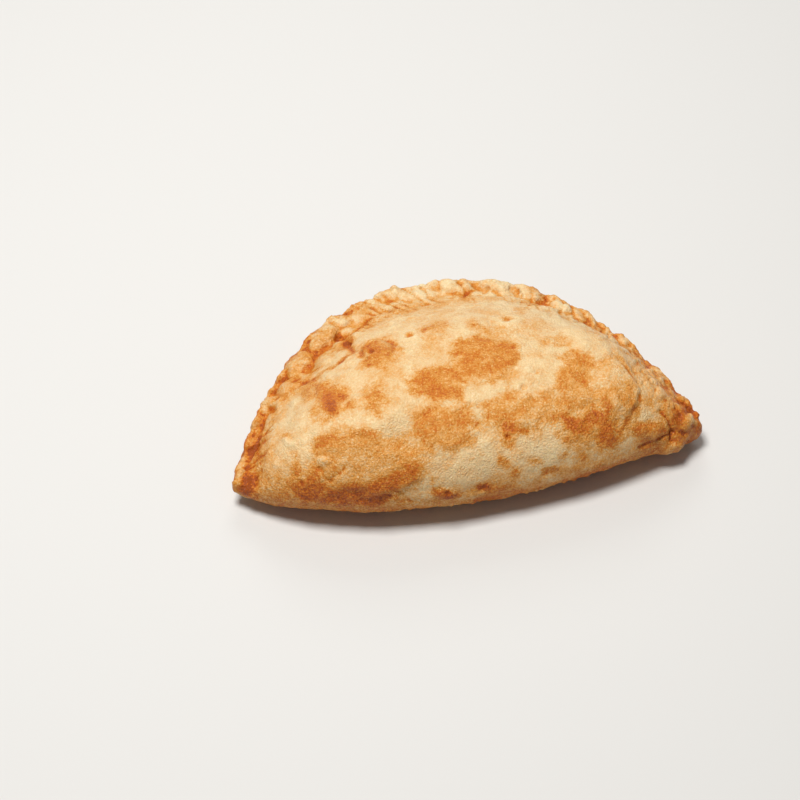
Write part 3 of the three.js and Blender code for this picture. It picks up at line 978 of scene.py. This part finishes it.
# Clouds: size of a lump in millimetres, detail and roughness.
CLOUDS = {
    "broad": (15.0, 3.0, 0.5),
    "mottle": (5.0, 4.0, 0.55),
    "blotch": (2.4, 3.0, 0.6),
    "grain": (0.75, 3.0, 0.65),
    "specks": (0.55, 2.0, 0.6),
}
WRINKLES = (5.0, 4.0, 0.6)  # the same for thin ridges that join up
CELLS = {"pimples": 1.0, "bubbles": 2.1}  # size of a cell in millimetres
for name, (size, detail, rough) in CLOUDS.items():
    inputs = {"Vector": place_on_dough, "Scale": 1 / (size * MM), "Detail": detail, "Roughness": rough}
    field[name] = add_node(tree, "ShaderNodeTexNoise", inputs).outputs["Fac"]
size, detail, rough = WRINKLES
inputs = {"Vector": place_on_dough, "Scale": 1 / (size * MM), "Detail": detail, "Roughness": rough}
inputs["Distortion"] = 0.4
ridges = {"noise_type": "RIDGED_MULTIFRACTAL", "normalize": True}
field["wrinkles"] = add_node(tree, "ShaderNodeTexNoise", inputs, **ridges).outputs["Fac"]
for name, size in CELLS.items():
    inputs = {"Vector": place_on_dough, "Scale": 1 / (size * MM), "Randomness": 1.0}
    field[name] = add_node(tree, "ShaderNodeTexVoronoi", inputs, feature="F1").outputs["Distance"]
print("patterns:", sorted(field))

# %% Fried dough: adding up the toast level
def add_up(total, terms):
    """Adds patterns to a value, each carried from its range to a new one and kept to one region."""
    for source, low, high, least, most, where in terms:
        inputs = {"Value": field[source], "From Min": low, "From Max": high}
        inputs.update({"To Min": least, "To Max": most})
        carried = add_node(tree, "ShaderNodeMapRange", inputs, interpolation_type="SMOOTHSTEP")
        share = carried.outputs["Result"]
        if where:
            inputs = {0: share, 1: field[where]}
            share = add_node(tree, "ShaderNodeMath", inputs, operation="MULTIPLY").outputs[0]
        total = add_node(tree, "ShaderNodeMath", {0: total, 1: share}, operation="ADD").outputs[0]
    return total


# Each row: pattern, its range, what that is carried to, and the region that it is kept to, if any.
RAGGED = (
    ("mottle", 0.28, 0.72, -0.50, 0.50, None),
    ("blotch", 0.28, 0.72, -0.24, 0.24, None),
    ("grain", 0.25, 0.75, -0.20, 0.20, None),
)
field["ragged"] = add_up(field["toast"], RAGGED)
field["patch"] = add_up(0.0, (("ragged", -1.5, 1.3, 0.0, 1.0, None),))
PLAIN = (
    ("broad", 0.3, 0.7, -0.08, 0.08, None),
    ("mottle", 0.3, 0.7, -0.08, 0.10, None),
    ("mottle", 0.35, 0.65, -0.03, 0.07, "rope"),
)
BROWNED = (
    ("mottle", 0.3, 0.7, -0.09, 0.07, None),
    ("blotch", 0.3, 0.7, -0.04, 0.04, None),
)
plain = add_up(field["base"], PLAIN)
browned = add_up(field["tone"], BROWNED)
# In a float Mix node, input 0 is the share and inputs 2 and 3 are what is mixed.
inputs = {0: field["patch"], 2: plain, 3: browned}
mixed = add_node(tree, "ShaderNodeMix", inputs, data_type="FLOAT").outputs[0]
OVER_ALL = (
    ("grain", 0.3, 0.7, -0.08, 0.08, None),
    ("grain", 0.3, 0.7, -0.02, 0.03, "patch"),
    # pale centres of the pimples: painted glints
    ("pimples", 0.1, 0.45, -0.06, 0.02, None),
    ("pimples", 0.1, 0.45, -0.05, 0.03, "patch"),
    # pale specks: painted glints
    ("specks", 0.54, 0.72, 0.0, -0.17, None),
    ("bubbles", 0.1, 0.6, -0.05, 0.05, "rope"),
    ("grain", 0.3, 0.7, -0.08, 0.08, "side"),
    ("specks", 0.42, 0.28, 0.0, 0.14, "side"),
    ("bubbles", 0.1, 0.6, -0.06, 0.06, "side"),
    # browner in hollows and paler on rises: painted shade and painted highlight
    ("painted_hollow_shading", 0.03, 0.22, 0.0, 0.16, None),
    ("painted_hollow_shading", 0.02, 0.22, 0.0, 0.07, "rope"),
    ("painted_hollow_shading", -0.03, -0.30, 0.0, -0.07, None),
    ("painted_wide_hollow_shading", 0.10, 1.1, 0.0, 0.04, "rope"),
    ("painted_wide_hollow_shading", -0.10, -0.9, 0.0, -0.05, "rope"),
    ("edge", 0.2, 1.0, 0.0, 0.21, None),
    # darker along creases and folds: painted shade
    ("crease_shade", 0.2, 1.0, 0.0, 0.13, None),
)
level = add_up(mixed, OVER_ALL)
print("fried dough:", len(tree.nodes), "nodes for the toast level")

# %% Fried dough: colour, gloss and finest relief
TOASTING = (
    # toast level and colour
    (0.00, "#F1D9AD"),
    (0.15, "#EBCC98"),
    (0.28, "#E5BF89"),
    (0.40, "#E2AE6E"),
    (0.50, "#DE9F52"),
    (0.62, "#D28930"),
    (0.75, "#C96E13"),
    (0.88, "#B85908"),
    (1.00, "#9A4606"),
)
ramp = add_node(tree, "ShaderNodeValToRGB", {"Fac": level})
stops = ramp.color_ramp.elements
stops.remove(stops[1])
stops[0].color = from_hex(TOASTING[0][1])
for at, code in TOASTING[1:]:
    stops.new(at).color = from_hex(code)
tree.links.new(ramp.outputs["Color"], shader.inputs["Base Color"])

SATIN = 0.25  # roughness where the fat lies smoothest
GLOSS = (
    ("specks", 0.3, 0.7, 0.0, 0.26, None),
    ("mottle", 0.3, 0.7, 0.0, 0.12, None),
)
SURFACE = {
    "IOR": 1.45,  # frying fat on starch
    "Specular IOR Level": 0.34,
    "Coat Weight": 0.10,  # the film of fat
    "Coat Roughness": 0.12,
    "Subsurface Weight": 0.10,
    "Subsurface Radius": (1.0, 0.5, 0.22),  # red light goes furthest into dough
    "Subsurface Scale": 1.2 * MM,
}
tree.links.new(add_up(SATIN, GLOSS), shader.inputs["Roughness"])
for name, value in SURFACE.items():
    shader.inputs[name].default_value = value

# The finest relief, as heights in millimetres.
HEIGHTS = (
    ("blotch", 0.2, 0.8, 0.0, 0.14, None),
    ("grain", 0.2, 0.8, 0.0, 0.26, None),
    ("specks", 0.2, 0.8, 0.0, 0.14, None),
    ("pimples", 0.0, 0.5, 0.08, 0.0, None),
    ("bubbles", 0.0, 0.7, 0.15, 0.0, "rope"),
    ("bubbles", 0.0, 0.7, 0.30, 0.0, "side"),
    ("wrinkles", 0.3, 0.9, 0.0, 0.42, None),
)
inputs = {"Height": add_up(0.0, HEIGHTS), "Strength": 1.0, "Distance": 1.0 * MM}
bump = add_node(tree, "ShaderNodeBump", inputs)
for socket in ("Normal", "Coat Normal"):
    tree.links.new(bump.outputs["Normal"], shader.inputs[socket])
case.data.materials.clear()
case.data.materials.append(dough)
print("fried dough:", len(tree.nodes), "nodes")

# %% [markdown]
# ## Handing over
# The skin rides on the one body and stands for the plain solid.

# %% Handing over
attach(case, "root")
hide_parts("empanada")
